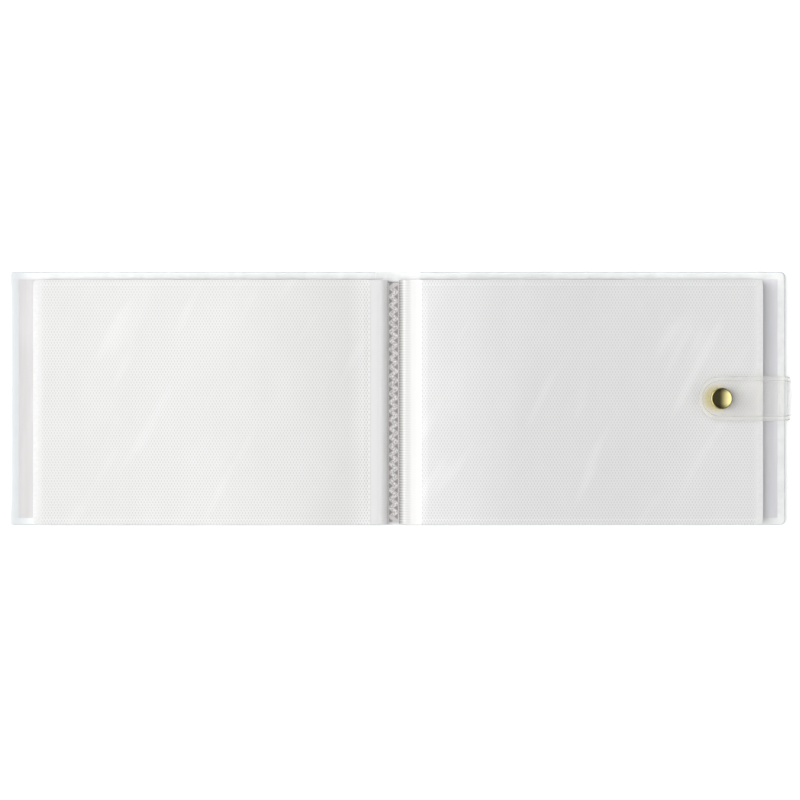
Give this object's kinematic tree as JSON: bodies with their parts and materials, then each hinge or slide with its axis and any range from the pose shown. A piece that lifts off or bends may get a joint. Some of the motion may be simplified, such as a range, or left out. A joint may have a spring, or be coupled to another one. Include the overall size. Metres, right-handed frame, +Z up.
{
  "type": "pocket photo album",
  "caption": "Clear vinyl pocket photo album lying open, with embossed photo pockets welded at a zigzag binding and a snap strap round the fore edge.",
  "frame": {"origin": "on the table, under the middle of the spine", "axes": "+X across the open spread towards the strap, +Y up the pages, +Z up from the table"},
  "size_m": [0.3582, 0.1168, 0.0146],
  "materials": {
    "clear_vinyl": "clear, glossy",
    "embossed_film": "clear film with a fine embossed dot",
    "strap_vinyl": "clear, glossy",
    "fused_film": "welded, milky",
    "brass": "polished",
    "plated_steel": "pale gold plating"
  },
  "bodies": {
    "back_cover": {"back_cover_sheet": "clear_vinyl", "back_cover_fore_rim": "clear_vinyl", "back_cover_top_rim": "clear_vinyl", "back_cover_bottom_rim": "clear_vinyl", "back_cover_flap": "clear_vinyl", "back_cover_end_sheet": "embossed_film", "right_leaf_1_lower_film": "embossed_film", "right_leaf_1_upper_film": "embossed_film", "right_leaf_1_margin": "embossed_film", "right_leaf_2_lower_film": "embossed_film", "right_leaf_2_upper_film": "embossed_film", "right_leaf_2_margin": "embossed_film", "right_leaf_3_lower_film": "embossed_film", "right_leaf_3_upper_film": "embossed_film", "right_leaf_3_margin": "embossed_film", "right_leaf_4_lower_film": "embossed_film", "right_leaf_4_upper_film": "embossed_film", "right_leaf_4_margin": "embossed_film", "right_leaf_5_lower_film": "embossed_film", "right_leaf_5_upper_film": "embossed_film", "right_leaf_5_margin": "embossed_film", "strap_anchor": "strap_vinyl"},
    "spine": {"spine_web": "clear_vinyl", "binding_strip": "fused_film"},
    "front_cover": {"front_cover_sheet": "clear_vinyl", "front_cover_fore_rim": "clear_vinyl", "front_cover_top_rim": "clear_vinyl", "front_cover_bottom_rim": "clear_vinyl", "front_cover_flap": "clear_vinyl", "front_cover_end_sheet": "embossed_film", "left_leaf_1_margin": "embossed_film", "left_leaf_2_margin": "embossed_film", "left_leaf_3_margin": "embossed_film", "left_leaf_4_margin": "embossed_film", "left_leaf_5_margin": "embossed_film", "snap_stud": "plated_steel", "snap_back_disc": "plated_steel"},
    "leaf_1": {"left_leaf_1_lower_film": "embossed_film", "left_leaf_1_upper_film": "embossed_film"},
    "leaf_2": {"left_leaf_2_lower_film": "embossed_film", "left_leaf_2_upper_film": "embossed_film"},
    "leaf_3": {"left_leaf_3_lower_film": "embossed_film", "left_leaf_3_upper_film": "embossed_film"},
    "leaf_4": {"left_leaf_4_lower_film": "embossed_film", "left_leaf_4_upper_film": "embossed_film"},
    "leaf_5": {"left_leaf_5_lower_film": "embossed_film", "left_leaf_5_upper_film": "embossed_film"},
    "strap_riser": {"strap_riser": "strap_vinyl"},
    "strap_bridge": {"strap_bridge": "strap_vinyl"},
    "strap_tongue": {"strap_inner_ply": "strap_vinyl", "strap_outer_ply": "strap_vinyl", "snap_cap": "brass", "snap_socket": "plated_steel"}
  },
  "joints": [
    {"name": "spine_fold", "type": "hinge", "parent": "back_cover", "child": "spine", "pos_m": [0.01, 0, 0.002], "axis": [0, 1, 0], "range_deg": [0, 90], "deforming": ["right_leaf_1_margin", "right_leaf_2_margin", "right_leaf_3_margin", "right_leaf_4_margin", "right_leaf_5_margin"]},
    {"name": "cover_fold", "type": "hinge", "parent": "spine", "child": "front_cover", "pos_m": [-0.01, 0, 0.002], "axis": [0, 1, 0], "range_deg": [0, 90], "deforming": ["left_leaf_1_margin", "left_leaf_2_margin", "left_leaf_3_margin", "left_leaf_4_margin", "left_leaf_5_margin"]},
    {"name": "leaf_1_turn", "type": "hinge", "parent": "front_cover", "child": "leaf_1", "pos_m": [0, 0, 0.012], "axis": [0, 1, 0], "range_deg": [0, 180]},
    {"name": "leaf_2_turn", "type": "hinge", "parent": "leaf_1", "child": "leaf_2", "pos_m": [0, 0, 0.012], "axis": [0, 1, 0], "range_deg": [0, 180]},
    {"name": "leaf_3_turn", "type": "hinge", "parent": "leaf_2", "child": "leaf_3", "pos_m": [0, 0, 0.012], "axis": [0, 1, 0], "range_deg": [0, 180]},
    {"name": "leaf_4_turn", "type": "hinge", "parent": "leaf_3", "child": "leaf_4", "pos_m": [0, 0, 0.012], "axis": [0, 1, 0], "range_deg": [0, 180]},
    {"name": "leaf_5_turn", "type": "hinge", "parent": "leaf_4", "child": "leaf_5", "pos_m": [0, 0, 0.012], "axis": [0, 1, 0], "range_deg": [0, 180]},
    {"name": "strap_swing", "type": "hinge", "parent": "back_cover", "child": "strap_riser", "pos_m": [0.1802, 0, 0], "axis": [0, 1, 0], "range_deg": [0, 90]},
    {"name": "strap_reach", "type": "hinge", "parent": "strap_riser", "child": "strap_bridge", "pos_m": [0.1802, 0, 0.0127], "axis": [0, 1, 0], "range_deg": [0, 90]},
    {"name": "strap_tip", "type": "hinge", "parent": "strap_bridge", "child": "strap_tongue", "pos_m": [0.16755, 0, 0.0114], "axis": [0, 1, 0], "range_deg": [-90, 0]}
  ],
  "couplings": [
    {"joint": "cover_fold", "follows": "spine_fold", "ratio": 1},
    {"joint": "strap_tip", "follows": "strap_reach", "ratio": -1}
  ]
}
